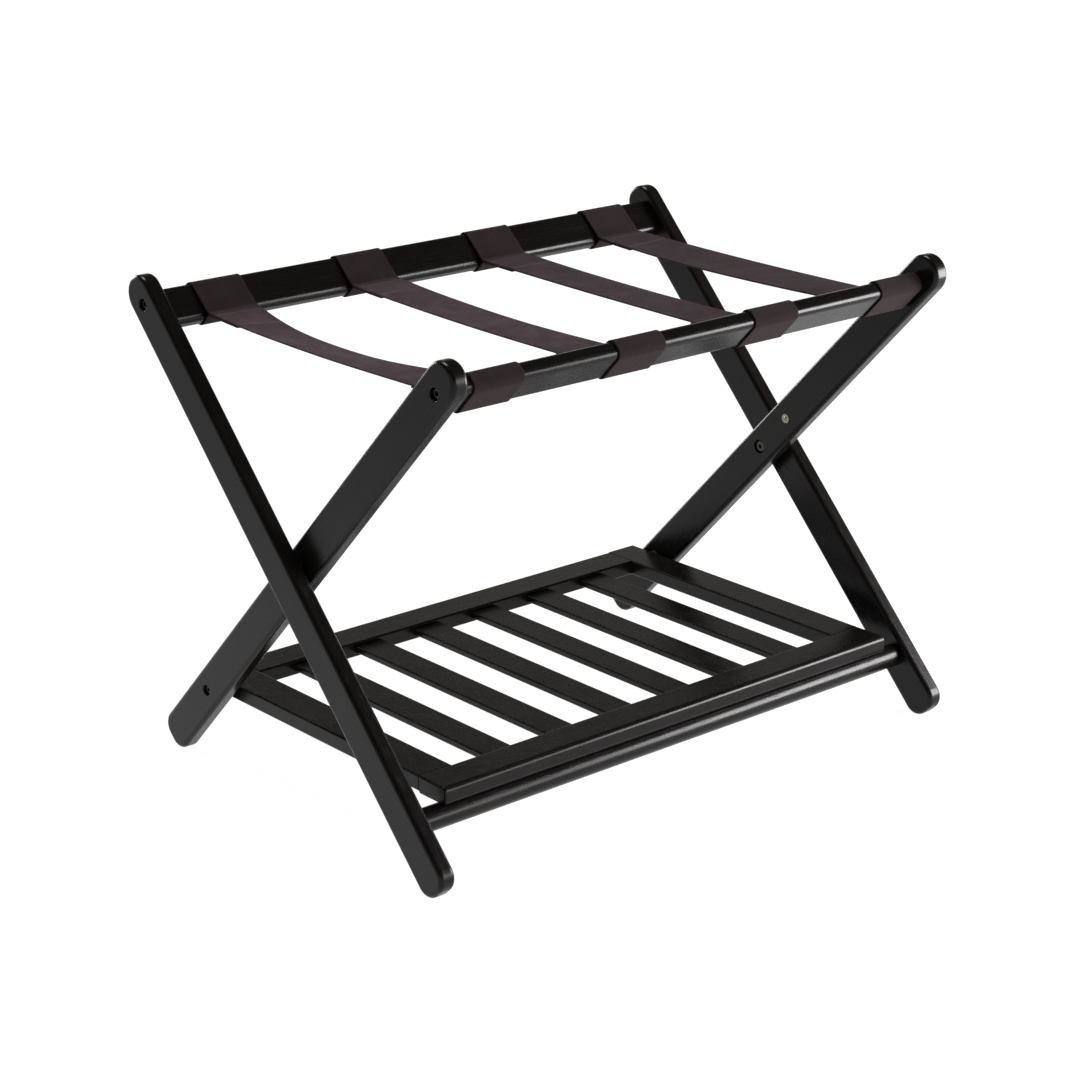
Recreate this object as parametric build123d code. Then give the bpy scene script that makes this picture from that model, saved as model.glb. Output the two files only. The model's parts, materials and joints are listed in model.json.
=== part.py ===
from build123d import *
import math
import os

# Folding luggage rack. Millimetres, +Z up, X along the rails, -Y towards the front.
# The origin is on the floor, under the middle of the rack. It stands open.
# Right is +X. Left pieces mirror the right ones.

# Frame
OVERALL_WIDTH = 680.0
LEG_ANGLE = 46.42            # of each leg above the floor, in degrees
LEG_REACH = 337.0            # from the main pivot to either end of a leg
LEG_WIDTH = 40.0
LEG_THICKNESS = 18.0
LEG_EDGE_ROUND = 4.5
FOOT_CORNER = 16.0
FRAME_GAP = 4.0              # between an outer and an inner leg, filled by a washer

# Top rails and front rod, placed by their distance along the legs from the main pivot
BACK_RAIL_PLACE = 297.0
FRONT_RAIL_PLACE = 295.0
FRONT_RAIL_DROP = 2.5         # below the middle of the inner legs' width
RAIL_WIDTH = 41.0
RAIL_THICKNESS = 18.0
RAIL_CORNER = 7.0
RAIL_SCREW_OFFSET = 9.5      # above the rail's centre
RAIL_DOWEL_OFFSET = -9.5
ROD_PLACE = -267.4
ROD_DIAMETER = 24.0
ROD_SEAT_DEPTH = 9.0

# Straps
STRAP_WIDTH = 58.0
STRAP_THICKNESS = 1.6
STRAP_CENTRES = (-258.0, -86.0, 86.0, 258.0)
STRAP_SLACK = 0.1            # between webbing and rail
SPAN_HALF_LENGTH = 183.2
SPAN_BACK_HEIGHT = 209.0     # of the webbing's top above the main pivot
SPAN_MIDDLE_HEIGHT = 205.2
SPAN_FRONT_HEIGHT = 205.4

# Shelf
SHELF_HALF_WIDTH = 297.5
SHELF_HALF_DEPTH = 195.0
SHELF_RAIL_WIDTH = 40.0
SHELF_FRONT_THICKNESS = 18.0
SHELF_SIDE_THICKNESS = 16.0     # of the back and side rails, flush with the front rail on top
SHELF_EDGE_ROUND = 2.0
SHELF_FRONT_ROUND = 5.0
SHELF_REST_GAP = 0.3         # above the rod
SHELF_HINGE_PLACE = -235.6   # along the inner legs
SLAT_COUNT = 6
SLAT_WIDTH = 35.0
SLAT_THICKNESS = 7.0
SLAT_TONGUE = 10.0           # let into each rail
SLAT_EDGE_ROUND = 1.5

# Fastenings
FIT = 0.02                   # clearance round a piece that is fixed in its seat
RUNNING = 0.05               # radial clearance round a piece that turns
FACE_GAP = 0.1               # between faces that slide past each other
PIVOT_BOLT = dict(
    head_diameter=14.0, head_height=4.4, head_round=2.5,
    shank_diameter=8.0, key=5.0, key_depth=2.5,
)
PIVOT_HEAD_SEAT = 6.0        # depth of the seat in the inner leg
PIVOT_BOLT_REACH = 12.0      # into the outer leg
PIVOT_INSERT_DIAMETER = 12.0
PIVOT_INSERT_LENGTH = 13.0
PIVOT_WASHER_DIAMETER = 24.0
RAIL_SCREW = dict(
    head_diameter=9.0, head_height=5.0, head_round=0.8,
    shank_diameter=6.0, key=5.0, key_depth=3.0,
)
RAIL_SCREW_SEAT = 8.0
RAIL_SCREW_SEAT_DIAMETER = 12.0
RAIL_SCREW_REACH = 40.0      # into the rail
HINGE_SCREW = dict(
    head_diameter=10.0, head_height=4.0, head_round=1.5,
    shank_diameter=6.0, key=4.0, key_depth=2.0,
)
HINGE_SCREW_SEAT = 7.0
HINGE_SEAT_DIAMETER = 11.0
SEAT_RIM_ROUND = 1.0
HINGE_SCREW_REACH = 26.0     # into the shelf
HINGE_WASHER_DIAMETER = 16.0
DOWEL_DIAMETER = 8.0
RAIL_DOWEL_IN_LEG = 11.0
RAIL_DOWEL_IN_RAIL = 19.0
SHELF_DOWEL_HALF = 20.0      # on each side of the glued joint
SHELF_DOWEL_SPREAD = 7.0     # of a pair of dowels, each way from their middle
REAR_DOWEL_SHIFT = 5.0       # clears the hinge screw
CATCH_PLACE = 55.5           # above the main pivot, along the inner legs
CATCH_DIAMETER = 10.0
CATCH_FLANGE = 0.5
CATCH_BALL_DIAMETER = 7.0
CATCH_PROUD = 1.5
CATCH_DEPTH = 12.0

SINE = math.sin(math.radians(LEG_ANGLE))
COSINE = math.cos(math.radians(LEG_ANGLE))
FOOT_CENTRE_REACH = LEG_REACH - FOOT_CORNER
FOOT_CENTRE_SIDE = LEG_WIDTH / 2 - FOOT_CORNER
PIVOT_HEIGHT = FOOT_CENTRE_REACH * SINE + FOOT_CENTRE_SIDE * COSINE + FOOT_CORNER

OUTER_UP = (0, COSINE, SINE)     # the outer legs rise towards the back
INNER_UP = (0, -COSINE, SINE)    # the inner legs rise towards the front
BACK_RAIL = dict(up=OUTER_UP, place=BACK_RAIL_PLACE, side=0.0)
FRONT_RAIL = dict(up=INNER_UP, place=FRONT_RAIL_PLACE, side=FRONT_RAIL_DROP)
OUTER_FACE = OVERALL_WIDTH / 2
OUTER_INSIDE = OUTER_FACE - LEG_THICKNESS
INNER_FACE = OUTER_INSIDE - FRAME_GAP
INNER_INSIDE = INNER_FACE - LEG_THICKNESS


def leg_plane(up, x):
    """Plane at the main pivot: local X runs up the leg, local Z is the rack's X."""
    return Plane(origin=(x, 0, PIVOT_HEIGHT), x_dir=up, z_dir=(1, 0, 0))


def on_leg(up, place, side=0):
    """Y and Z of a point by its place up a leg and its distance forward from the leg's centre line."""
    return up[1] * place - up[2] * side, PIVOT_HEIGHT + up[2] * place + up[1] * side


def rod_along_x(place, x_from, x_to, diameter):
    """Round bar along X through a point given as (y, z)."""
    start = Plane(origin=(x_from, place[0], place[1]), z_dir=(1, 0, 0))
    return start * Cylinder(diameter / 2, x_to - x_from, align=(Align.CENTER, Align.CENTER, Align.MIN))


def block(x_range, y_range, z_range):
    """Box between two corners."""
    size = [high - low for low, high in (x_range, y_range, z_range)]
    low_corner = Pos(x_range[0], y_range[0], z_range[0])
    return low_corner * Box(*size, align=(Align.MIN, Align.MIN, Align.MIN))


def screw(place, head_x, inward, shank_length, size):
    """Socket-head screw along X. head_x is its outer face; inward is +1 or -1, towards its tip."""
    standing = (Align.CENTER, Align.CENTER, Align.MIN)
    head = Cylinder(size["head_diameter"] / 2, size["head_height"], align=standing)
    head = fillet(head.edges().group_by(Axis.Z)[0], size["head_round"])
    shank = Cylinder(size["shank_diameter"] / 2, shank_length, align=standing)
    key = extrude(RegularPolygon(size["key"] / 2, 6, major_radius=False), size["key_depth"])
    whole = head + Pos(0, 0, size["head_height"]) * shank - key
    return Plane(origin=(head_x, place[0], place[1]), z_dir=(inward, 0, 0)) * whole


def leg(up, inside_x):
    """Right-hand leg without its holes: full round at the top, softened corners at the foot."""
    top_centre = LEG_REACH - LEG_WIDTH / 2
    straight = Pos((top_centre - LEG_REACH) / 2, 0) * Rectangle(top_centre + LEG_REACH, LEG_WIDTH)
    straight = fillet(straight.vertices().group_by(Axis.X)[0], FOOT_CORNER)
    outline = straight + Pos(top_centre, 0) * Circle(LEG_WIDTH / 2)
    blank = extrude(leg_plane(up, inside_x) * outline, LEG_THICKNESS)
    sides = blank.faces().sort_by(Axis.X)
    return fillet(sides[0].edges() + sides[-1].edges(), LEG_EDGE_ROUND)


def on_rail(rail, shift=0):
    """Y and Z of a point in a top rail's section, at a distance up the leg from the rail's centre."""
    return on_leg(rail["up"], rail["place"] + shift, rail["side"])


def rail_joint_holes(rail, outside_x):
    """Seat and hole of a rail's end screw, and the hole of its dowel, at a leg's outer face."""
    screw_place = on_rail(rail, RAIL_SCREW_OFFSET)
    dowel_place = on_rail(rail, RAIL_DOWEL_OFFSET)
    inside_x = outside_x - LEG_THICKNESS
    seat = rod_along_x(screw_place, outside_x - RAIL_SCREW_SEAT, outside_x + 1, RAIL_SCREW_SEAT_DIAMETER)
    shank_diameter = RAIL_SCREW["shank_diameter"] + 2 * FIT
    shank = rod_along_x(screw_place, inside_x - RAIL_SCREW_REACH, outside_x, shank_diameter)
    dowel_from = inside_x - RAIL_DOWEL_IN_RAIL - FIT
    dowel_to = inside_x + RAIL_DOWEL_IN_LEG + FIT
    return seat + shank + rod_along_x(dowel_place, dowel_from, dowel_to, DOWEL_DIAMETER + 2 * FIT)


def soften_seat(body, face_x, diameter):
    """Rounds the rim of a screw's seat at a leg's outer face."""
    circles = body.edges().filter_by(GeomType.CIRCLE)
    on_face = [circle for circle in circles if abs(circle.center().X - face_x) < 0.01]
    rims = [circle for circle in on_face if abs(circle.radius - diameter / 2) < 0.01]
    return fillet(rims, SEAT_RIM_ROUND)


def outer_leg():
    """Right outer leg, with its rail joint, the rod's blind seat and the pivot insert's seat."""
    rod_end = OUTER_INSIDE + ROD_SEAT_DEPTH
    rod_seat = rod_along_x(on_leg(OUTER_UP, ROD_PLACE), OUTER_INSIDE - 1, rod_end, ROD_DIAMETER + 2 * FIT)
    insert_end = OUTER_INSIDE + PIVOT_INSERT_LENGTH + FIT
    insert_diameter = PIVOT_INSERT_DIAMETER + 2 * FIT
    insert_seat = rod_along_x(on_leg(OUTER_UP, 0), OUTER_INSIDE - 1, insert_end, insert_diameter)
    body = leg(OUTER_UP, OUTER_INSIDE) - rod_seat - insert_seat - rail_joint_holes(BACK_RAIL, OUTER_FACE)
    return soften_seat(body, OUTER_FACE, RAIL_SCREW_SEAT_DIAMETER)


def inner_leg():
    """Right inner leg, with its rail joint, pivot hole, shelf hinge hole and catch seat."""
    pivot = on_leg(INNER_UP, 0)
    hinge = on_leg(INNER_UP, SHELF_HINGE_PLACE)
    catch = on_leg(INNER_UP, CATCH_PLACE)
    inside, outside = INNER_INSIDE, INNER_FACE
    holes = [
        rod_along_x(pivot, inside - 1, outside + 1, PIVOT_BOLT["shank_diameter"] + 2 * RUNNING),
        rod_along_x(pivot, inside - 1, inside + PIVOT_HEAD_SEAT, PIVOT_BOLT["head_diameter"] + 1),
        rod_along_x(hinge, inside - 1, outside + 1, HINGE_SCREW["shank_diameter"] + 2 * RUNNING),
        rod_along_x(hinge, outside - HINGE_SCREW_SEAT, outside + 1, HINGE_SEAT_DIAMETER),
        rod_along_x(catch, inside - 1, inside + CATCH_DEPTH + FIT, CATCH_DIAMETER + 2 * FIT),
        rail_joint_holes(FRONT_RAIL, outside),
    ]
    body = leg(INNER_UP, INNER_INSIDE)
    for hole in holes:
        body = body - hole
    body = soften_seat(body, INNER_FACE, RAIL_SCREW_SEAT_DIAMETER)
    return soften_seat(body, INNER_FACE, HINGE_SEAT_DIAMETER)


def top_rail(rail, half_length):
    """Rail between the tops of two legs, bored at both ends for its screws and dowels."""
    section = Pos(rail["place"], rail["side"]) * RectangleRounded(RAIL_WIDTH, RAIL_THICKNESS, RAIL_CORNER)
    bar = extrude(leg_plane(rail["up"], -half_length) * section, 2 * half_length)
    holes = rail_joint_holes(rail, half_length + LEG_THICKNESS)
    return bar - holes - mirror(holes, about=Plane.YZ)


def rail_screw(rail, outside_x):
    """Screw at the right-hand end of a top rail."""
    head_x = outside_x - RAIL_SCREW_SEAT + RAIL_SCREW["head_height"]
    length = LEG_THICKNESS - RAIL_SCREW_SEAT + RAIL_SCREW_REACH - 1
    return screw(on_rail(rail, RAIL_SCREW_OFFSET), head_x, -1, length, RAIL_SCREW)


def rail_dowel(rail, outside_x):
    """Glued dowel at the right-hand end of a top rail."""
    inside_x = outside_x - LEG_THICKNESS
    place = on_rail(rail, RAIL_DOWEL_OFFSET)
    return rod_along_x(place, inside_x - RAIL_DOWEL_IN_RAIL, inside_x + RAIL_DOWEL_IN_LEG, DOWEL_DIAMETER)


def front_foot_rod():
    """Round rod between the outer legs, which the shelf's front rail rests on."""
    half_length = OUTER_INSIDE + ROD_SEAT_DEPTH - FIT
    return rod_along_x(on_leg(OUTER_UP, ROD_PLACE), -half_length, half_length, ROD_DIAMETER)


def pivot_bolt():
    """Right main pivot: its head sinks in the inner leg and its shank screws into the outer leg."""
    head_x = INNER_INSIDE + PIVOT_HEAD_SEAT - FACE_GAP - PIVOT_BOLT["head_height"]
    tip_x = OUTER_INSIDE + PIVOT_BOLT_REACH
    shank_length = tip_x - head_x - PIVOT_BOLT["head_height"]
    return screw(on_leg(INNER_UP, 0), head_x, 1, shank_length, PIVOT_BOLT)


def pivot_insert():
    """Blind threaded insert in the right outer leg."""
    centre = on_leg(OUTER_UP, 0)
    body = rod_along_x(centre, OUTER_INSIDE, OUTER_INSIDE + PIVOT_INSERT_LENGTH, PIVOT_INSERT_DIAMETER)
    bore_end = OUTER_INSIDE + PIVOT_BOLT_REACH + FIT
    return body - rod_along_x(centre, OUTER_INSIDE - 1, bore_end, PIVOT_BOLT["shank_diameter"] + 2 * FIT)


def pivot_washer():
    """Spacer between the right legs."""
    centre = on_leg(OUTER_UP, 0)
    disc = rod_along_x(centre, INNER_FACE + FACE_GAP, OUTER_INSIDE, PIVOT_WASHER_DIAMETER)
    return disc - rod_along_x(centre, INNER_FACE, OUTER_INSIDE + 1, PIVOT_BOLT["shank_diameter"] + 2 * FIT)


def catch_stud():
    """Spring catch let into the right inner leg: a flange with a ball that steadies the folded shelf."""
    barrel = Cylinder(CATCH_DIAMETER / 2, CATCH_DEPTH, align=(Align.CENTER, Align.CENTER, Align.MAX))
    flange = Cylinder(CATCH_DIAMETER / 2, CATCH_FLANGE, align=(Align.CENTER, Align.CENTER, Align.MIN))
    ball = Pos(0, 0, CATCH_PROUD - CATCH_BALL_DIAMETER / 2) * Sphere(CATCH_BALL_DIAMETER / 2)
    place = on_leg(INNER_UP, CATCH_PLACE)
    return Plane(origin=(INNER_INSIDE, place[0], place[1]), z_dir=(-1, 0, 0)) * (barrel + flange + ball)


def strap_loop(rail, x_centre):
    """Webbing wrapped round a top rail."""
    inner_grow = 2 * STRAP_SLACK
    outer_grow = inner_grow + 2 * STRAP_THICKNESS
    sections = []
    for grow in (outer_grow, inner_grow):
        sections.append(RectangleRounded(RAIL_WIDTH + grow, RAIL_THICKNESS + grow, RAIL_CORNER + grow / 2))
    ring = Pos(rail["place"], rail["side"]) * (sections[0] - sections[1])
    return extrude(leg_plane(rail["up"], x_centre - STRAP_WIDTH / 2) * ring, STRAP_WIDTH)


def strap_span(x_centre):
    """Webbing from rail to rail, with a little sag."""
    back = (SPAN_HALF_LENGTH, SPAN_BACK_HEIGHT)
    middle = (0, SPAN_MIDDLE_HEIGHT)
    front = (-SPAN_HALF_LENGTH, SPAN_FRONT_HEIGHT)
    top = ThreePointArc(back, middle, front)
    bottom = Pos(0, -STRAP_THICKNESS) * top
    front_end = Line(top @ 1, bottom @ 1)
    back_end = Line(bottom @ 0, top @ 0)
    section = make_face([top, front_end, bottom, back_end])
    side = Plane(origin=(x_centre - STRAP_WIDTH / 2, 0, PIVOT_HEIGHT), x_dir=(0, 1, 0), z_dir=(1, 0, 0))
    return extrude(side * section, STRAP_WIDTH)


ROD_TOP = on_leg(OUTER_UP, ROD_PLACE)[1] + ROD_DIAMETER / 2
SHELF_BOTTOM = ROD_TOP + SHELF_REST_GAP
SHELF_TOP = SHELF_BOTTOM + SHELF_FRONT_THICKNESS
SHELF_MIDDLE = SHELF_TOP - SHELF_SIDE_THICKNESS / 2     # of its slats, back rail and side rails
SHELF_INNER_X = SHELF_HALF_WIDTH - SHELF_RAIL_WIDTH
SHELF_INNER_Y = SHELF_HALF_DEPTH - SHELF_RAIL_WIDTH
SLAT_GAP = (2 * SHELF_INNER_X - SLAT_COUNT * SLAT_WIDTH) / (SLAT_COUNT + 1)
SLAT_PITCH = SLAT_WIDTH + SLAT_GAP


def slat_centre(number):
    """X of a slat, counted from 0 at the left."""
    return (number - (SLAT_COUNT - 1) / 2) * SLAT_PITCH


def slat(number):
    """Slat with a tongue at each end."""
    half_length = SHELF_INNER_Y + SLAT_TONGUE
    board = Pos(slat_centre(number), 0, SHELF_MIDDLE) * Box(SLAT_WIDTH, 2 * half_length, SLAT_THICKNESS)
    return fillet(board.edges().filter_by(Axis.Y), SLAT_EDGE_ROUND)


def slat_mortises():
    """Slots for the tongues of every slat, through both rails at once."""
    length = 2 * (SHELF_INNER_Y + SLAT_TONGUE + FIT)
    slots = []
    for number in range(SLAT_COUNT):
        slot = Box(SLAT_WIDTH + 2 * FIT, length, SLAT_THICKNESS + 2 * FIT)
        slots.append(Pos(slat_centre(number), 0, SHELF_MIDDLE) * slot)
    return slots


def shelf_dowels(diameter, half_length):
    """The shelf frame's corner dowels: four run back from the front rail, four run in from the side rails."""
    dowels = []
    for side in (-1, 1):
        side_centre = side * (SHELF_HALF_WIDTH - SHELF_RAIL_WIDTH / 2)
        for shift in (-SHELF_DOWEL_SPREAD, SHELF_DOWEL_SPREAD):
            bar = Rot(90, 0, 0) * Cylinder(diameter / 2, 2 * half_length)
            dowels.append(Pos(side_centre + shift, -SHELF_INNER_Y, SHELF_MIDDLE) * bar)
            rear_y = SHELF_HALF_DEPTH - SHELF_RAIL_WIDTH / 2 + REAR_DOWEL_SHIFT + shift
            joint_x = side * SHELF_INNER_X
            rear_place = (rear_y, SHELF_MIDDLE)
            dowels.append(rod_along_x(rear_place, joint_x - half_length, joint_x + half_length, diameter))
    return dowels


def shelf_rail(x_range, y_range):
    """Back or side rail with softened long edges, before it is bored."""
    rail = block(x_range, y_range, (SHELF_TOP - SHELF_SIDE_THICKNESS, SHELF_TOP))
    along = Axis.X if x_range[1] - x_range[0] > y_range[1] - y_range[0] else Axis.Y
    return fillet(rail.edges().filter_by(along), SHELF_EDGE_ROUND)


def shelf_front_rail():
    """Full-width front rail with a rounder front edge."""
    depth = (-SHELF_HALF_DEPTH, -SHELF_INNER_Y)
    rail = block((-SHELF_HALF_WIDTH, SHELF_HALF_WIDTH), depth, (SHELF_BOTTOM, SHELF_TOP))
    rail = fillet(rail.edges().filter_by(Axis.X).group_by(Axis.Y)[0], SHELF_FRONT_ROUND)
    rail = fillet(rail.edges().filter_by(Axis.X).group_by(Axis.Y)[-1], SHELF_EDGE_ROUND)
    front_corners = rail.edges().filter_by(Axis.Z).group_by(Axis.Y)[0]
    return fillet(front_corners, SHELF_EDGE_ROUND)


def hinge_screw():
    """Right shelf hinge: turns in the inner leg and is fixed in the shelf."""
    head_x = INNER_FACE - HINGE_SCREW_SEAT + FACE_GAP + HINGE_SCREW["head_height"]
    tip_x = SHELF_HALF_WIDTH - HINGE_SCREW_REACH
    shank_length = head_x - HINGE_SCREW["head_height"] - tip_x
    return screw(on_leg(INNER_UP, SHELF_HINGE_PLACE), head_x, -1, shank_length, HINGE_SCREW)


def hinge_washer():
    """Spacer between the shelf and the right inner leg."""
    centre = on_leg(INNER_UP, SHELF_HINGE_PLACE)
    disc = rod_along_x(centre, SHELF_HALF_WIDTH, INNER_INSIDE - FACE_GAP, HINGE_WASHER_DIAMETER)
    hole = rod_along_x(centre, SHELF_HALF_WIDTH - 1, INNER_INSIDE, HINGE_SCREW["shank_diameter"] + 2 * FIT)
    return disc - hole


def hinge_screw_hole():
    """Hole in the shelf's right side rail."""
    centre = on_leg(INNER_UP, SHELF_HINGE_PLACE)
    start = SHELF_HALF_WIDTH - HINGE_SCREW_REACH - FIT
    return rod_along_x(centre, start, SHELF_HALF_WIDTH + 1, HINGE_SCREW["shank_diameter"] + 2 * FIT)


def shelf_parts():
    """Every wooden piece of the shelf, by name."""
    dowel_holes = shelf_dowels(DOWEL_DIAMETER + 2 * FIT, SHELF_DOWEL_HALF + FIT)
    side = shelf_rail((SHELF_INNER_X, SHELF_HALF_WIDTH), (-SHELF_INNER_Y, SHELF_HALF_DEPTH))
    side = side - hinge_screw_hole()
    rails = {
        "shelf_front_rail": shelf_front_rail(),
        "shelf_back_rail": shelf_rail((-SHELF_INNER_X, SHELF_INNER_X), (SHELF_INNER_Y, SHELF_HALF_DEPTH)),
        "shelf_right_rail": side,
        "shelf_left_rail": mirror(side, about=Plane.YZ),
    }
    pieces = {}
    for name, rail in rails.items():
        for hole in dowel_holes + slat_mortises():
            rail = rail - hole
        pieces[name] = rail
    for number in range(SLAT_COUNT):
        pieces[f"shelf_slat_{number + 1}"] = slat(number)
    pieces["shelf_corner_dowels"] = Compound(shelf_dowels(DOWEL_DIAMETER, SHELF_DOWEL_HALF))
    return pieces


def pair(right):
    """A right-hand piece and its mirror image, as one group."""
    left = mirror(right, about=Plane.YZ)
    return Compound(list(right.solids()) + list(left.solids()))


def all_parts():
    """Every piece of the rack, by node name."""
    right_outer = outer_leg()
    right_inner = inner_leg()
    parts = {
        "right_outer_leg": right_outer,
        "left_outer_leg": mirror(right_outer, about=Plane.YZ),
        "right_inner_leg": right_inner,
        "left_inner_leg": mirror(right_inner, about=Plane.YZ),
        "back_top_rail": top_rail(BACK_RAIL, OUTER_INSIDE),
        "front_top_rail": top_rail(FRONT_RAIL, INNER_INSIDE),
        "back_rail_screws": pair(rail_screw(BACK_RAIL, OUTER_FACE)),
        "front_rail_screws": pair(rail_screw(FRONT_RAIL, INNER_FACE)),
        "back_rail_dowels": pair(rail_dowel(BACK_RAIL, OUTER_FACE)),
        "front_rail_dowels": pair(rail_dowel(FRONT_RAIL, INNER_FACE)),
        "front_foot_rod": front_foot_rod(),
        "pivot_bolts": pair(pivot_bolt()),
        "pivot_inserts": pair(pivot_insert()),
        "pivot_washers": pair(pivot_washer()),
        "shelf_catch_studs": pair(catch_stud()),
        "shelf_pivot_screws": pair(hinge_screw()),
        "shelf_pivot_washers": pair(hinge_washer()),
    }
    for number, x_centre in enumerate(STRAP_CENTRES, start=1):
        parts[f"back_strap_loop_{number}"] = strap_loop(BACK_RAIL, x_centre)
        parts[f"front_strap_loop_{number}"] = strap_loop(FRONT_RAIL, x_centre)
        parts[f"strap_span_{number}"] = strap_span(x_centre)
    parts.update(shelf_parts())
    return parts


os.makedirs("parts", exist_ok=True)
for node, shape in all_parts().items():
    export_step(shape, f"parts/{node}.step")
print("main pivot height", round(PIVOT_HEIGHT, 3), "shelf top", round(SHELF_TOP, 3))
print("shelf hinge", [round(value, 3) for value in on_leg(INNER_UP, SHELF_HINGE_PLACE)])
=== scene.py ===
import json
import math
import random

import bmesh
import bpy
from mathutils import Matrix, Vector


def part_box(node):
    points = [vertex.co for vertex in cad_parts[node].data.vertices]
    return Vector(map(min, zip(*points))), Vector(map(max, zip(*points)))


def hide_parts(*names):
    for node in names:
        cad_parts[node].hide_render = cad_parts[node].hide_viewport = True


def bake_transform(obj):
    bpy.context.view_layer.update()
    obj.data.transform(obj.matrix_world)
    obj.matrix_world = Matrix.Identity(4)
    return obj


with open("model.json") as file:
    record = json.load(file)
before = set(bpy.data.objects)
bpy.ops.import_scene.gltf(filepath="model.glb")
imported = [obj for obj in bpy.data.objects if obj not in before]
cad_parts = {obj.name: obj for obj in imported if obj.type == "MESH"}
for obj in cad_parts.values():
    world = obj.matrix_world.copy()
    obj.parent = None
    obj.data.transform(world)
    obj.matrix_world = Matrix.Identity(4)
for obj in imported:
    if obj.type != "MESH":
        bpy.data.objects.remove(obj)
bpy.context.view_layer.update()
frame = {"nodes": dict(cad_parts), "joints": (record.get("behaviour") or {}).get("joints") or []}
nodes = frame["nodes"]
joints = {joint["name"]: joint for joint in frame["joints"]}
PIVOT = Vector(joints["fold"]["pos_m"])

# How the legs and top rails lie, read from the frame
RAIL_CENTRE = {
    "back": sum(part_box("back_top_rail"), Vector()) / 2,
    "front": sum(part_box("front_top_rail"), Vector()) / 2,
}
OUTER_UP = (RAIL_CENTRE["back"] - PIVOT).normalized()
INNER_UP = Vector((0, -OUTER_UP.y, OUTER_UP.z))

# Top rail section, in metres
RAIL_HALF_WIDTH = 0.0205
RAIL_HALF_THICKNESS = 0.009
RAIL_CORNER = 0.007

# Webbing: lengths in metres
WEB_WIDTH = 0.058
WEB_THICKNESS = 0.0015
WEB_OFFSET = 0.0009          # from a rail's surface to the webbing's middle
WEB_LAYER = 0.0017           # between the middles of two layers sewn together
SELVEDGE = 0.0024            # width of the woven edge
SELVEDGE_SWELL = 1.12        # how many times thicker the woven edge is
EDGE_ROUNDING = 0.0007
PROFILE_STEPS = 16           # across the webbing, between its woven edges
HERRINGBONE = 0.0045         # width of a column of slanting ribs
RIB_PITCH = 0.0013
WARP_PITCH = 0.0011

# Route of the straps: lengths in metres
SPAN_SAG = 0.0022
SPAN_START = 0.024           # from a top rail's middle to the end of the span
TAIL_LENGTH = 0.047          # sewn under the span, from the bend below each rail
TAIL_BEND = 0.0035
CREASE_BEND = 0.0050
ROUTE_STEP = 0.0024
ARC_STEP = 0.35              # as a share of the step on straight runs
# Where the span leaves each rail: up the leg and inwards from the rail's middle
CREASE = {"back": (-0.0190, 0.0128), "front": (-0.0195, 0.0108)}
STRAP_BACK_X = (-0.2557, -0.0800, 0.0915, 0.2565)
STRAP_FRONT_X = (-0.2545, -0.0845, 0.0895, 0.2655)
LEFT_DROOP = (0.0018, 0.0006, -0.0010, 0.0030)  # of each strap's left edge, below a flat span
RIGHT_DROOP = (0.0125, 0.0036, 0.0012, 0.0)
BACK_DROOP = (0.85, 0.20, 0.0, 0.40)            # how far the droop is shifted towards the back
PAINTED_SPAN_LIGHT = (0.95, 1.0, 0.58, 0.50)                 # how much painted light lies on each strap's span
PAINTED_LIGHT_RAMP = 0.04               # share of the span over which the painted light comes in
RIPPLE = 0.04                # unevenness of the droop, as a share of it
RIPPLE_TURN = 34             # radians per metre
LARGEST_PHASE = 6.28         # about a full turn, in radians

# Stitching: lengths in metres
STITCH_START = 0.026                 # from a top rail's middle
STITCH_ROWS = (0.008, 0.040, 0.043)  # from there towards the middle of the span
STITCHES_IN_ROW = 13
STITCH_MARGIN = 0.010                # of the strap's width, left without stitches
STITCH_LENGTH = 0.0030
STITCH_RADIUS = 0.00035
STITCH_DIP = 0.0004                  # of a stitch's ends

# Stage: lengths in metres, and strengths of glow
FLOOR_HALF = 40.0
FLOOR_SHADES = ((0.10, 0.10, 0.10), (0.12, 0.12, 0.12))
FLOOR_GLOW = (0.97, 0.60)            # round the rack, and far to the back left
FADE_DIRECTION = (-0.881, 0.511, 0.0)
FADE_PLACES = (0.62, 1.50)           # where that change starts and ends
HORIZON_PLACES = (0.12, 0.36)        # heights of a unit vector
HORIZON_GLOW = (0.82, 0.05)          # below and above them
SURROUND_COLOUR = (1.0, 0.985, 0.955, 1.0)

# Camera, about the main pivot: degrees, then metres, then millimetres
CAMERA_AZIMUTH = -40.841
CAMERA_ELEVATION = 18.958
CAMERA_DISTANCE = 2.716
CAMERA_RIGHT = -0.0109
CAMERA_UP = -0.0377
CAMERA_CLIP = (0.05, 100.0)
CAMERA_LENS = 89.09
CAMERA_SENSOR = 36.0


# ---------------------------------------------------------------- materials

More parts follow.
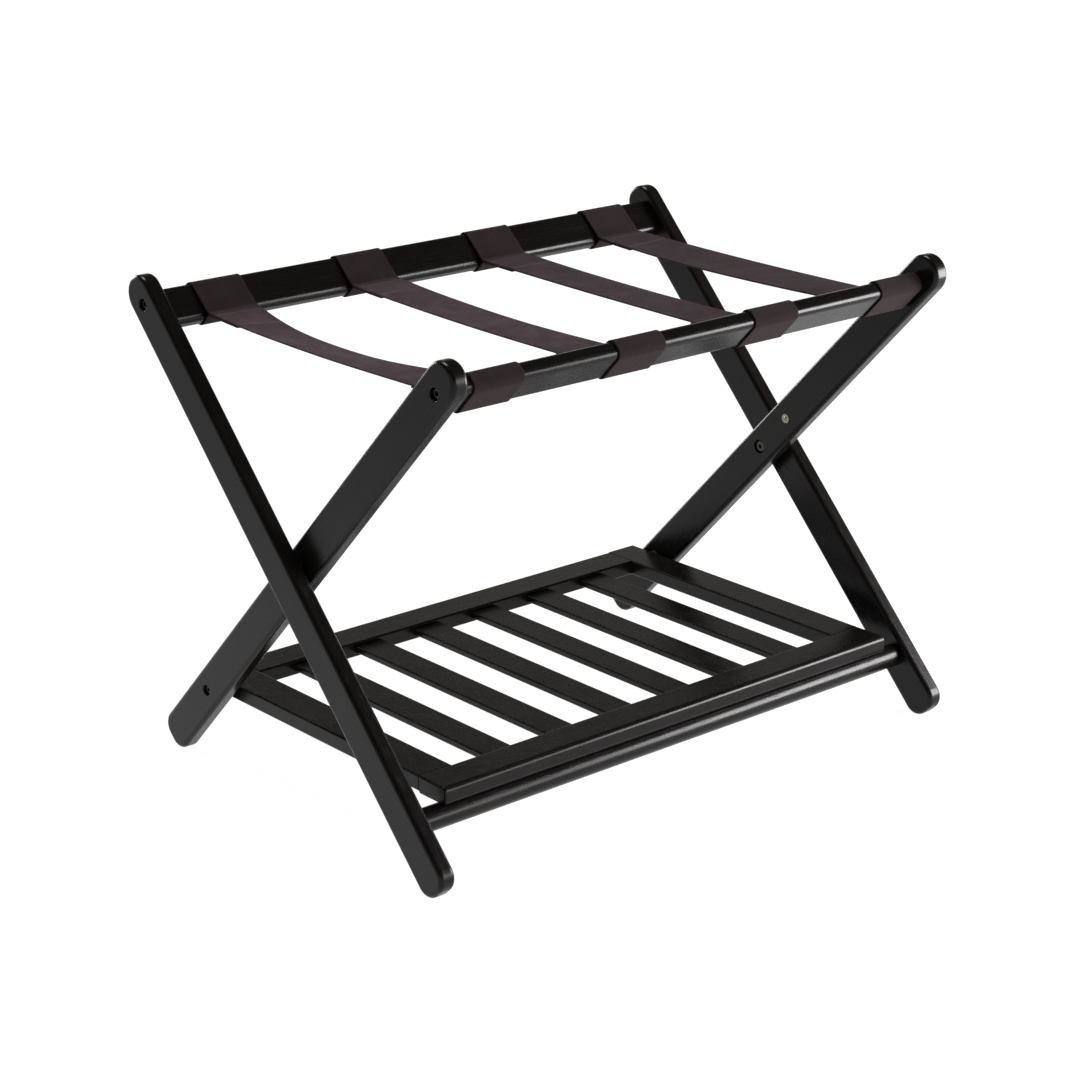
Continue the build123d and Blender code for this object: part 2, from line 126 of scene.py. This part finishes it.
class Shader:
    """A short way to build one material's nodes."""

    def __init__(self, name):
        self.material = bpy.data.materials.new(name)
        self.material.use_nodes = True
        self.tree = self.material.node_tree
        self.bsdf = self.tree.nodes["Principled BSDF"]

    def node(self, kind, **settings):
        made = self.tree.nodes.new(kind)
        for key, value in settings.items():
            setattr(made, key, value)
        return made

    def link(self, output, target):
        self.tree.links.new(output, target)

    def value(self, name, value):
        self.bsdf.inputs[name].default_value = value

    def coordinates(self, turn=(0, 0, 0), scale=(1, 1, 1), shift=(0, 0, 0)):
        """The object's own coordinates, turned, shifted and scaled."""
        source = self.node("ShaderNodeTexCoord")
        turned = self.node("ShaderNodeMapping")
        turned.inputs["Rotation"].default_value = turn
        turned.inputs["Location"].default_value = shift
        scaled = self.node("ShaderNodeMapping")
        scaled.inputs["Scale"].default_value = scale
        self.link(source.outputs["Object"], turned.inputs["Vector"])
        self.link(turned.outputs["Vector"], scaled.inputs["Vector"])
        return scaled.outputs["Vector"]

    def noise(self, vector, scale, detail=4.0, roughness=0.55, distortion=0.0):
        made = self.node("ShaderNodeTexNoise")
        made.inputs["Scale"].default_value = scale
        made.inputs["Detail"].default_value = detail
        made.inputs["Roughness"].default_value = roughness
        made.inputs["Distortion"].default_value = distortion
        self.link(vector, made.inputs["Vector"])
        return made.outputs["Fac"]

    def ramp(self, factor, stops):
        made = self.node("ShaderNodeValToRGB")
        elements = made.color_ramp.elements
        while len(elements) < len(stops):
            elements.new(0.5)
        for element, (position, colour) in zip(elements, stops):
            element.position = position
            element.color = (*colour, 1.0)
        self.link(factor, made.inputs["Fac"])
        return made.outputs["Color"]

    def range(self, factor, low, high, out_low, out_high):
        made = self.node("ShaderNodeMapRange")
        made.inputs["From Min"].default_value = low
        made.inputs["From Max"].default_value = high
        made.inputs["To Min"].default_value = out_low
        made.inputs["To Max"].default_value = out_high
        self.link(factor, made.inputs["Value"])
        return made.outputs["Result"]

    def math(self, operation, *values):
        made = self.node("ShaderNodeMath", operation=operation)
        for socket, value in zip(made.inputs, values):
            if isinstance(value, (int, float)):
                socket.default_value = value
            else:
                self.link(value, socket)
        return made.outputs["Value"]

    def mix(self, factor, first, second):
        made = self.node("ShaderNodeMix", data_type="RGBA")
        for name, value in (("Factor", factor), ("A", first), ("B", second)):
            socket = next(s for s in made.inputs if s.name == name and s.enabled)
            if isinstance(value, tuple):
                socket.default_value = (*value, 1.0)
            else:
                self.link(value, socket)
        return next(s for s in made.outputs if s.enabled)

    def bump(self, height, strength, distance, normal=None):
        made = self.node("ShaderNodeBump")
        made.inputs["Strength"].default_value = strength
        made.inputs["Distance"].default_value = distance
        self.link(height, made.inputs["Height"])
        if normal is not None:
            self.link(normal, made.inputs["Normal"])
        return made.outputs["Normal"]

    def edges(self, radius):
        """1 on rounded or sharp edges, 0 on flats."""
        rounded = self.node("ShaderNodeBevel", samples=4)
        rounded.inputs["Radius"].default_value = radius
        geometry = self.node("ShaderNodeNewGeometry")
        dot = self.node("ShaderNodeVectorMath", operation="DOT_PRODUCT")
        self.link(rounded.outputs["Normal"], dot.inputs[0])
        self.link(geometry.outputs["Normal"], dot.inputs[1])
        return self.range(dot.outputs["Value"], 0.995, 0.90, 0.0, 1.0)


WOOD_DARK = (0.0028, 0.0024, 0.0022)
WOOD_MIDDLE = (0.0044, 0.0037, 0.0033)
WOOD_LIGHT = (0.0080, 0.0062, 0.0050)
WOOD_PORE = (0.004, 0.0034, 0.003)
WOOD_WORN = (0.035, 0.024, 0.018)
WORN_EDGE = 0.0011           # radius that counts as an edge, in metres
GRAIN_STRETCH = 0.055        # scale of the grain lengthwise, against 1 across


def wood_material(name, along, shift):
    """Espresso-stained wood under satin lacquer, with its grain along the given direction."""
    shader = Shader(name)
    along = Vector(along)
    turn = (0, 0, 0)
    if abs(along.x) < 0.5:
        # Turns the grain direction, which lies in the YZ plane, onto Y
        turn = (-math.atan2(along.z, along.y), 0, 0)
    scale = (GRAIN_STRETCH, 1.0, 1.0) if abs(along.x) >= 0.5 else (1.0, GRAIN_STRETCH, 1.0)
    vector = shader.coordinates(turn, scale, shift)
    figure = shader.noise(vector, 42.0, detail=5.0, roughness=0.6, distortion=0.6)
    fibres = shader.noise(vector, 620.0, detail=3.0, roughness=0.6)
    pores = shader.range(shader.noise(vector, 1150.0, detail=1.0), 0.60, 0.68, 0.0, 1.0)
    grain = shader.math("ADD", shader.math("MULTIPLY", figure, 0.65), shader.math("MULTIPLY", fibres, 0.35))
    stain = shader.ramp(grain, [(0.34, WOOD_DARK), (0.52, WOOD_MIDDLE), (0.70, WOOD_LIGHT)])
    stain = shader.mix(shader.math("MULTIPLY", pores, 0.5), stain, WOOD_PORE)
    patches = shader.noise(shader.coordinates(shift=shift), 55.0, detail=6.0, roughness=0.7)
    rubbing = shader.range(patches, 0.50, 0.70, 0.0, 0.30)
    rubbed = shader.math("MULTIPLY", shader.edges(WORN_EDGE), rubbing)
    shader.link(shader.mix(rubbed, stain, WOOD_WORN), shader.bsdf.inputs["Base Color"])
    haze = shader.noise(shader.coordinates(shift=shift), 14.0, detail=3.0)
    gloss = shader.math("ADD", shader.range(haze, 0.3, 0.7, 0.21, 0.28), shader.math("MULTIPLY", pores, 0.15))
    shader.link(gloss, shader.bsdf.inputs["Roughness"])
    fine = shader.bump(fibres, strength=0.08, distance=0.00012)
    pitted = shader.bump(shader.math("SUBTRACT", 1.0, pores), strength=0.14, distance=0.00010, normal=fine)
    swell = shader.noise(shader.coordinates(shift=shift), 26.0, detail=2.0)
    waves = shader.bump(swell, strength=0.10, distance=0.0006, normal=pitted)
    shader.link(waves, shader.bsdf.inputs["Normal"])
    shader.value("IOR", 1.5)
    shader.value("Specular IOR Level", 0.18)
    return shader.material


def metal_material(name, colour, roughness):
    """Plated or blackened steel, with fine mottled spots in its tone, roughness and surface."""
    shader = Shader(name)
    vector = shader.coordinates()
    spots = shader.noise(vector, 900.0, detail=4.0)
    shade = shader.mix(shader.range(spots, 0.35, 0.65, 0.0, 0.35), colour, tuple(0.6 * c for c in colour))
    shader.link(shade, shader.bsdf.inputs["Base Color"])
    dulled = shader.range(spots, 0.3, 0.7, roughness * 0.8, roughness * 1.3)
    shader.link(dulled, shader.bsdf.inputs["Roughness"])
    shader.link(shader.bump(spots, 0.15, 0.00005), shader.bsdf.inputs["Normal"])
    shader.value("Metallic", 1.0)
    return shader.material


def nylon_material():
    """Black moulded nylon."""
    shader = Shader("nylon_black")
    vector = shader.coordinates()
    grain = shader.noise(vector, 1400.0, detail=3.0)
    shade = shader.mix(grain, (0.012, 0.012, 0.012), (0.022, 0.021, 0.020))
    shader.link(shade, shader.bsdf.inputs["Base Color"])
    shader.link(shader.range(grain, 0.3, 0.7, 0.42, 0.55), shader.bsdf.inputs["Roughness"])
    shader.link(shader.bump(grain, 0.2, 0.00005), shader.bsdf.inputs["Normal"])
    return shader.material


# Each pair is for the loops, darkened as painted shade, and for the spans, lightened as painted light
WEB_GAP = (0.0090, 0.0052, 0.0058)
WEB_YARN = ((0.0140, 0.0080, 0.0086), (0.0690, 0.0425, 0.0530))
WEB_RUBBED = ((0.0190, 0.0115, 0.0120), (0.0860, 0.0570, 0.0690))


def webbing_material():
    """Dark brown woven webbing, with painted shade on the loops round the rails and painted light on the
    spans.

    The strap_place attribute holds the place across and along, in metres, and how much painted light lies
    there.
    """
    shader = Shader("webbing_brown")
    place = shader.node("ShaderNodeAttribute", attribute_name="strap_place")
    split = shader.node("ShaderNodeSeparateXYZ")
    shader.link(place.outputs["Vector"], split.inputs["Vector"])
    across, along = split.outputs["X"], split.outputs["Y"]
    # Fine herringbone: the slanting ribs turn round at each warp column
    slant = shader.math("ADD", along, shader.math("PINGPONG", across, HERRINGBONE))
    rib = shader.math("SINE", shader.math("MULTIPLY", slant, 2 * math.pi / RIB_PITCH))
    warp = shader.math("SINE", shader.math("MULTIPLY", across, 2 * math.pi / WARP_PITCH))
    height = shader.math("ADD", shader.math("MULTIPLY", rib, 0.5), shader.math("MULTIPLY", warp, 0.35))
    cover = shader.range(height, -0.85, 0.85, 0.0, 1.0)
    fuzz = shader.noise(place.outputs["Vector"], 2600.0, detail=4.0, roughness=0.7)
    fade = shader.noise(place.outputs["Vector"], 38.0, detail=4.0, roughness=0.6)
    # The third value of strap_place picks painted shade on the loops and painted light on the spans
    yarn = shader.mix(split.outputs["Z"], *WEB_YARN)
    rubbed = shader.mix(split.outputs["Z"], *WEB_RUBBED)
    colour = shader.mix(cover, WEB_GAP, yarn)
    colour = shader.mix(shader.range(fade, 0.40, 0.72, 0.0, 0.55), colour, rubbed)
    colour = shader.mix(shader.range(fuzz, 0.35, 0.65, 0.25, 0.0), colour, WEB_GAP)
    shader.link(colour, shader.bsdf.inputs["Base Color"])
    shader.link(shader.range(fuzz, 0.3, 0.7, 0.80, 0.95), shader.bsdf.inputs["Roughness"])
    woven = shader.bump(height, 0.5, 0.00018)
    shader.link(shader.bump(fuzz, 0.35, 0.00010, woven), shader.bsdf.inputs["Normal"])
    shader.value("Sheen Weight", 0.06)
    shader.value("Sheen Roughness", 0.45)
    shader.value("Sheen Tint", (0.75, 0.62, 0.64, 1.0))
    shader.value("Specular IOR Level", 0.08)
    return shader.material


def thread_material():
    """Twisted sewing thread in the webbing's colour."""
    shader = Shader("thread_brown")
    vector = shader.coordinates()
    twist = shader.noise(vector, 4200.0, detail=2.0)
    shade = shader.mix(twist, (0.040, 0.026, 0.025), (0.120, 0.084, 0.080))
    shader.link(shade, shader.bsdf.inputs["Base Color"])
    shader.link(shader.range(twist, 0.3, 0.7, 0.5, 0.7), shader.bsdf.inputs["Roughness"])
    shader.link(shader.bump(twist, 0.4, 0.00010), shader.bsdf.inputs["Normal"])
    return shader.material


def bare_wood_material():
    """Unstained beech, for the hidden dowels."""
    shader = Shader("bare_beech")
    vector = shader.coordinates()
    flecks = shader.noise(vector, 300.0, detail=4.0)
    shader.link(shader.mix(flecks, (0.42, 0.27, 0.15), (0.60, 0.42, 0.26)), shader.bsdf.inputs["Base Color"])
    shader.link(shader.range(flecks, 0.3, 0.7, 0.55, 0.7), shader.bsdf.inputs["Roughness"])
    shader.link(shader.bump(flecks, 0.2, 0.0001), shader.bsdf.inputs["Normal"])
    return shader.material


def dress(node, material):
    """Gives a CAD node its material."""
    mesh = nodes[node].data
    mesh.materials.clear()
    mesh.materials.append(material)


ALONG_X, ALONG_Y = (1, 0, 0), (0, 1, 0)
WOODEN = {
    "left_outer_leg": OUTER_UP, "right_outer_leg": OUTER_UP,
    "left_inner_leg": INNER_UP, "right_inner_leg": INNER_UP,
    "back_top_rail": ALONG_X, "front_top_rail": ALONG_X, "front_foot_rod": ALONG_X,
    "shelf_front_rail": ALONG_X, "shelf_back_rail": ALONG_X,
    "shelf_left_rail": ALONG_Y, "shelf_right_rail": ALONG_Y,
}
WOODEN.update({name: ALONG_Y for name in sorted(nodes) if name.startswith("shelf_slat_")})


def dress_frame():
    """Materials of every CAD node that stays."""
    draw = random.Random(11)
    for name, along in WOODEN.items():
        shift = tuple(draw.uniform(-3, 3) for _ in range(3))
        dress(name, wood_material(f"wood_{name}", along, shift))
    bright = metal_material("nickel_plate", (0.30, 0.28, 0.24), 0.38)
    dark = metal_material("black_oxide", (0.085, 0.080, 0.078), 0.38)
    brass = metal_material("plain_brass", (0.70, 0.50, 0.24), 0.35)
    nylon = nylon_material()
    beech = bare_wood_material()
    dress("shelf_catch_studs", bright)
    for name in ("back_rail_screws", "front_rail_screws", "pivot_bolts", "shelf_pivot_screws"):
        dress(name, dark)
    for name in ("pivot_washers", "shelf_pivot_washers"):
        dress(name, nylon)
    for name in ("back_rail_dowels", "front_rail_dowels", "shelf_corner_dowels"):
        dress(name, beech)
    dress("pivot_inserts", brass)


# ------------------------------------------------------------------- straps

def rail_point(side, up_amount, inward_amount):
    """(y, z) of a point in a top rail's section: so far up the leg, and so far out on the strap's side."""
    up = OUTER_UP if side == "back" else INNER_UP
    inward = Vector((0, -up.z, up.y)) if side == "back" else Vector((0, up.z, -up.y))
    place = RAIL_CENTRE[side] + up * up_amount + inward * inward_amount
    return Vector((place.y, place.z))


def meet(point, direction, other, other_direction):
    """Where two lines in the YZ plane cross."""
    cross = direction.x * other_direction.y - direction.y * other_direction.x
    gap = other - point
    return point + direction * ((gap.x * other_direction.y - gap.y * other_direction.x) / cross)


def rounded(corners, step):
    """Points along a path through (point, radius) corners, with arcs at the corners."""
    points = [corners[0][0]]

    def run_to(target):
        start = points[-1]
        count = max(1, math.ceil((target - start).length / step))
        for index in range(1, count + 1):
            points.append(start.lerp(target, index / count))

    for index in range(1, len(corners) - 1):
        corner, radius = corners[index]
        before = (corners[index - 1][0] - corner).normalized()
        after = (corners[index + 1][0] - corner).normalized()
        half = before.angle(after) / 2
        centre = corner + (before + after).normalized() * (radius / math.sin(half))
        first = corner + before * (radius / math.tan(half)) - centre
        last = corner + after * (radius / math.tan(half)) - centre
        run_to(centre + first)
        turn = first.angle_signed(last)
        count = max(3, math.ceil(abs(turn) * radius / (step * ARC_STEP)))
        for arc_index in range(1, count + 1):
            angle = -turn * arc_index / count
            cosine, sine = math.cos(angle), math.sin(angle)
            swung = Vector((first.x * cosine - first.y * sine, first.x * sine + first.y * cosine))
            points.append(centre + swung)
    run_to(corners[-1][0])
    return points


def strap_route():
    """The webbing's middle line in the YZ plane, from the sewn tail behind to the sewn tail in front."""
    wide = RAIL_HALF_WIDTH + WEB_OFFSET
    thick = RAIL_HALF_THICKNESS + WEB_OFFSET
    bend = RAIL_CORNER + WEB_OFFSET
    crease = {side: rail_point(side, *place) for side, place in CREASE.items()}
    run = (crease["front"] - crease["back"]).normalized()
    below = Vector((run.y, -run.x)) * WEB_LAYER
    if below.y > 0:
        below = -below
    halves = {}
    for side, direction in (("back", run), ("front", -run)):
        bottom = rail_point(side, -wide, 0)
        outward = rail_point(side, -wide, 1) - bottom
        tail_bend = meet(crease[side] + below, direction, bottom, outward)
        halves[side] = [
            (tail_bend + direction * TAIL_LENGTH, 0.0),
            (tail_bend, TAIL_BEND),
            (rail_point(side, -wide, -thick), bend),
            (rail_point(side, wide, -thick), bend),
            (rail_point(side, wide, thick), bend),
            (crease[side], CREASE_BEND),
        ]
    points = rounded(halves["back"] + halves["front"][::-1], ROUTE_STEP)
    low, high = crease["front"].x, crease["back"].x
    lowered = []
    for point in points:
        share = min(max((point.x - low) / (high - low), 0.0), 1.0)
        lowered.append(Vector((point.x, point.y - 4 * SPAN_SAG * share * (1 - share))))
    return lowered


def normals_of(points):
    """Unit normals of a path in the YZ plane."""
    found = []
    for index in range(len(points)):
        ahead = points[min(index + 1, len(points) - 1)] - points[max(index - 1, 0)]
        found.append(Vector((-ahead.y, ahead.x)).normalized())
    return found


def section_profile():
    """The webbing's cross-section as (place across, half thickness), with thicker woven selvedges."""
    half = WEB_WIDTH / 2
    edge_places = (0.0, 0.00025, EDGE_ROUNDING, SELVEDGE * 0.6, SELVEDGE)
    places = [-half + place for place in edge_places]
    middle = 2 * half - 2 * SELVEDGE
    places += [(-half + SELVEDGE) + middle * index / PROFILE_STEPS for index in range(1, PROFILE_STEPS)]
    places += [half - place for place in reversed(edge_places)]
    profile = []
    for place in places:
        from_edge = half - abs(place)
        rounding = min(1.0, from_edge / EDGE_ROUNDING)
        thickness = WEB_THICKNESS / 2 * math.sqrt(max(1 - (1 - rounding) ** 2, 0.04))
        if from_edge < SELVEDGE:
            thickness *= SELVEDGE_SWELL
        profile.append((place, thickness))
    return profile


def strap_x(number, y):
    """Middle of a strap at a place between the rails."""
    front, back = RAIL_CENTRE["front"].y, RAIL_CENTRE["back"].y
    share = min(max((y - front) / (back - front), 0.0), 1.0)
    return STRAP_FRONT_X[number] + (STRAP_BACK_X[number] - STRAP_FRONT_X[number]) * share


def span_share(y):
    """0 at the span's front end and 1 at its back end."""
    back, front = RAIL_CENTRE["back"].y - SPAN_START, RAIL_CENTRE["front"].y + SPAN_START
    return min(max((y - front) / (back - front), 0.0), 1.0)


def on_span(y):
    """1 on the span and 0 on the loops round the rails, with a short change between them."""
    share = span_share(y)
    return min(1.0, min(share, 1 - share) / PAINTED_LIGHT_RAMP)


def droop(number, y, across):
    """How far a strap hangs below its straight line, uneven from its left edge (-1) to its right (1)."""
    share = span_share(y)
    left, right = LEFT_DROOP[number], RIGHT_DROOP[number]
    shape = 4 * share * (1 - share) * (1 + BACK_DROOP[number] * (2 * share - 1))
    return shape * (left + (right - left) * (across + 1) / 2)


def strap_mesh(number):
    """One strap's closed mesh, and the length of its webbing."""
    route = strap_route()
    normals = normals_of(route)
    profile = section_profile()
    phase = random.Random(40 + number).uniform(0, LARGEST_PHASE)
    ring = len(profile) * 2
    mesh_points, places = [], []
    travelled = 0.0
    for index, (point, normal) in enumerate(zip(route, normals)):
        if index:
            travelled += (point - route[index - 1]).length
        for side in (1, -1):
            for place, half in (profile if side == 1 else profile[::-1]):
                across = place / (WEB_WIDTH / 2)
                ripple = 1 + RIPPLE * math.sin(phase + point.x * RIPPLE_TURN)
                lower = droop(number, point.x, across) * ripple
                y = point.x + normal.x * side * half
                z = point.y + normal.y * side * half - lower
                mesh_points.append((strap_x(number, point.x) + place, y, z))
                # The third value is painted light: lighter spans and darker loops stand in for how the light
                # falls on each strap
                places.append((place + WEB_WIDTH, travelled, PAINTED_SPAN_LIGHT[number] * on_span(point.x)))
    faces = []
    for row in range(len(route) - 1):
        for column in range(ring):
            following = (column + 1) % ring
            start, end = row * ring, (row + 1) * ring
            faces.append((start + column, start + following, end + following, end + column))
    faces.append(tuple(range(ring))[::-1])
    last = (len(route) - 1) * ring
    faces.append(tuple(range(last, last + ring)))
    mesh = bpy.data.meshes.new(f"strap_{number + 1}")
    mesh.from_pydata(mesh_points, [], faces)
    attribute = mesh.attributes.new("strap_place", "FLOAT_VECTOR", "POINT")
    attribute.data.foreach_set("vector", [value for place in places for value in place])
    recalculate(mesh)
    return mesh, travelled


def build_strap(number, material, thread):
    """One strap: webbing looped round both rails, with its sewn tails and stitching."""
    mesh, length = strap_mesh(number)
    strap = add_object(mesh, material)
    stitching = build_stitching(number, thread)
    for piece in (strap, stitching):
        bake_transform(piece)
    names = [f"back_strap_loop_{number + 1}", f"strap_span_{number + 1}", f"front_strap_loop_{number + 1}"]
    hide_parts(*names)


def recalculate(mesh):
    """Points every face outwards and smooths the shading."""
    work = bmesh.new()
    work.from_mesh(mesh)
    bmesh.ops.recalc_face_normals(work, faces=work.faces)
    work.to_mesh(mesh)
    work.free()
    mesh.polygons.foreach_set("use_smooth", [True] * len(mesh.polygons))


def add_object(mesh, material):
    """Links a mesh into the scene under its own name."""
    made = bpy.data.objects.new(mesh.name, mesh)
    bpy.context.scene.collection.objects.link(made)
    mesh.materials.append(material)
    return made


def build_stitching(number, thread):
    """Rows of stitches across the strap where each tail is sewn to the span, on top and below."""
    work = bmesh.new()
    spots = []
    for side, sign in (("back", -1), ("front", 1)):
        start = RAIL_CENTRE[side].y + sign * STITCH_START
        spots += [start + sign * distance for distance in STITCH_ROWS]
    route = strap_route()
    gaps = STITCHES_IN_ROW - 1
    for y in spots:
        top, bottom = span_heights(route, y)
        for index in range(STITCHES_IN_ROW):
            place = (index - gaps / 2) * (WEB_WIDTH - STITCH_MARGIN) / gaps
            lower = droop(number, y, place / (WEB_WIDTH / 2))
            for z in (top, bottom):
                stitch(work, Vector((strap_x(number, y) + place, y, z - lower)))
    mesh = bpy.data.meshes.new(f"strap_{number + 1}_stitching")
    work.to_mesh(mesh)
    work.free()
    mesh.polygons.foreach_set("use_smooth", [True] * len(mesh.polygons))
    return add_object(mesh, thread)


def span_heights(route, y):
    """Height of the span's top face and of its tail's bottom face at a place between the rails."""
    near = sorted(route, key=lambda point: abs(point.x - y))[:4]
    top = max(point.y for point in near)
    bottom = min(point.y for point in near)
    return top + WEB_THICKNESS / 2, bottom - WEB_THICKNESS / 2


def stitch(work, centre):
    """One stitch: a short thread lying across the strap, with its ends drawn in."""
    segments, sides = 6, 6
    rings = []
    for index in range(segments + 1):
        share = index / segments * 2 - 1
        thickness = STITCH_RADIUS * math.sqrt(max(1 - share ** 4, 0.05))
        dip = -STITCH_DIP * share * share
        ring = []
        for corner in range(sides):
            angle = 2 * math.pi * corner / sides
            deep, high = thickness * math.cos(angle), thickness * math.sin(angle) + dip
            ring.append(work.verts.new(centre + Vector((share * STITCH_LENGTH / 2, deep, high))))
        rings.append(ring)
    for first, second in zip(rings, rings[1:]):
        for corner in range(sides):
            following = (corner + 1) % sides
            work.faces.new((first[corner], second[corner], second[following], first[following]))
    work.faces.new(rings[0])
    work.faces.new(rings[-1][::-1])


# -------------------------------------------------------------------- stage

def smooth_change(tree, source, places, strengths):
    """Goes smoothly from one strength to the other between two places."""
    change = tree.nodes.new("ShaderNodeMapRange")
    change.interpolation_type = "SMOOTHSTEP"
    for name, value in zip(("From Min", "From Max", "To Min", "To Max"), (*places, *strengths)):
        change.inputs[name].default_value = value
    tree.links.new(source, change.inputs["Value"])
    return change.outputs["Result"]


def build_floor():
    """Pale floor that glows of itself, and glows less towards the back left."""
    mesh = bpy.data.meshes.new("floor")
    half = FLOOR_HALF
    corners = [(-half, -half, 0), (half, -half, 0), (half, half, 0), (-half, half, 0)]
    mesh.from_pydata(corners, [], [(0, 1, 2, 3)])
    shader = Shader("floor_pale")
    mottle = shader.noise(shader.coordinates(), 3.0, detail=2.0)
    shader.link(shader.mix(mottle, *FLOOR_SHADES), shader.bsdf.inputs["Base Color"])
    shader.value("Roughness", 0.9)
    shader.value("Specular IOR Level", 0.0)
    shader.value("Emission Color", (1.0, 1.0, 1.0, 1.0))
    place = shader.node("ShaderNodeVectorMath", operation="DOT_PRODUCT")
    shader.link(shader.coordinates(), place.inputs[0])
    place.inputs[1].default_value = FADE_DIRECTION
    glow = smooth_change(shader.tree, place.outputs["Value"], FADE_PLACES, FLOOR_GLOW)
    shader.link(glow, shader.bsdf.inputs["Emission Strength"])
    add_object(mesh, shader.material)


def direction(azimuth, elevation):
    """Unit vector towards a place round the rack. Azimuth 0 stands in front, and 90 to the right."""
    turn, tilt = math.radians(azimuth), math.radians(elevation)
    return Vector((math.sin(turn) * math.cos(tilt), -math.cos(turn) * math.cos(tilt), math.sin(tilt)))


def place_light(name, kind, towards, energy, colour):
    """Adds a light that shines on the rack from the given direction."""
    light = bpy.data.lights.new(name, kind)
    light.energy = energy
    light.color = colour
    made = bpy.data.objects.new(name, light)
    bpy.context.scene.collection.objects.link(made)
    made.rotation_mode = "QUATERNION"
    made.rotation_quaternion = towards.to_track_quat("Z", "Y")
    return made


def area_light(name, azimuth, elevation, distance, size, power, colour):
    """A soft box aimed at the rack."""
    towards = direction(azimuth, elevation)
    made = place_light(name, "AREA", towards, power, colour)
    made.data.shape = "RECTANGLE"
    made.data.size, made.data.size_y = size
    made.location = PIVOT + towards * distance
    return made


def soft_sun(name, azimuth, elevation, strength, width, colour=(1, 1, 1)):
    """A distant soft light, as wide as the given angle."""
    made = place_light(name, "SUN", direction(azimuth, elevation), strength, colour)
    made.data.angle = math.radians(width)
    return made


def build_surround():
    """A surround that is pale at the horizon and dark above, so that the stained wood stays deep."""
    world = bpy.data.worlds.new("studio")
    world.use_nodes = True
    tree = world.node_tree
    background = tree.nodes["Background"]
    source = tree.nodes.new("ShaderNodeTexCoord")
    split = tree.nodes.new("ShaderNodeSeparateXYZ")
    tree.links.new(source.outputs["Generated"], split.inputs["Vector"])
    glow = smooth_change(tree, split.outputs["Z"], HORIZON_PLACES, HORIZON_GLOW)
    tree.links.new(glow, background.inputs["Strength"])
    background.inputs["Color"].default_value = SURROUND_COLOUR
    bpy.context.scene.world = world


def keep_off(light, names):
    """Keeps a light off some pieces, whose flat tops would mirror it as glare in a view from behind."""
    shaded = bpy.data.collections.new(f"{light.name}_shaded")
    light.light_linking.receiver_collection = shaded
    for index, name in enumerate(names):
        shaded.objects.link(nodes[name])
        shaded.collection_objects[index].light_linking.link_state = "EXCLUDE"


def build_lights():
    """A soft box low at the right, a soft sun nearer the front, and soft suns behind and above."""
    build_surround()
    key = area_light("key", azimuth=51, elevation=8, distance=1.8, size=(0.90, 0.75), power=60,
                     colour=(1.0, 0.985, 1.0))
    front = soft_sun("front", azimuth=30, elevation=8, strength=0.9, width=24, colour=(1.0, 0.98, 1.0))
    flat_tops = [name for name in sorted(nodes) if name.startswith("shelf_slat_")]
    flat_tops += ["shelf_back_rail", "shelf_left_rail", "shelf_right_rail"]
    for light in (key, front):
        keep_off(light, flat_tops)
    soft_sun("behind", azimuth=180, elevation=8, strength=1.6, width=24)
    soft_sun("behind_right", azimuth=132, elevation=12, strength=0.02, width=30, colour=(1.0, 0.92, 0.70))
    soft_sun("above", azimuth=180, elevation=68, strength=2.5, width=25)


def build_camera():
    """Camera at the viewing angle, set out about the main pivot."""
    back = direction(CAMERA_AZIMUTH, CAMERA_ELEVATION)
    right = (-back).cross(Vector((0, 0, 1))).normalized()
    up = right.cross(-back)
    camera = bpy.data.cameras.new("camera")
    camera.lens = CAMERA_LENS
    camera.sensor_width = CAMERA_SENSOR
    camera.clip_start, camera.clip_end = CAMERA_CLIP
    made = bpy.data.objects.new("camera", camera)
    bpy.context.scene.collection.objects.link(made)
    made.location = PIVOT + back * CAMERA_DISTANCE + right * CAMERA_RIGHT + up * CAMERA_UP
    made.rotation_mode = "QUATERNION"
    made.rotation_quaternion = (-back).to_track_quat("-Z", "Y")
    bpy.context.scene.camera = made


build_camera()
build_floor()
build_lights()
dress_frame()
webbing = webbing_material()
sewing_thread = thread_material()
for strap_number in range(len(STRAP_BACK_X)):
    build_strap(strap_number, webbing, sewing_thread)
bpy.context.scene.view_settings.view_transform = "Standard"
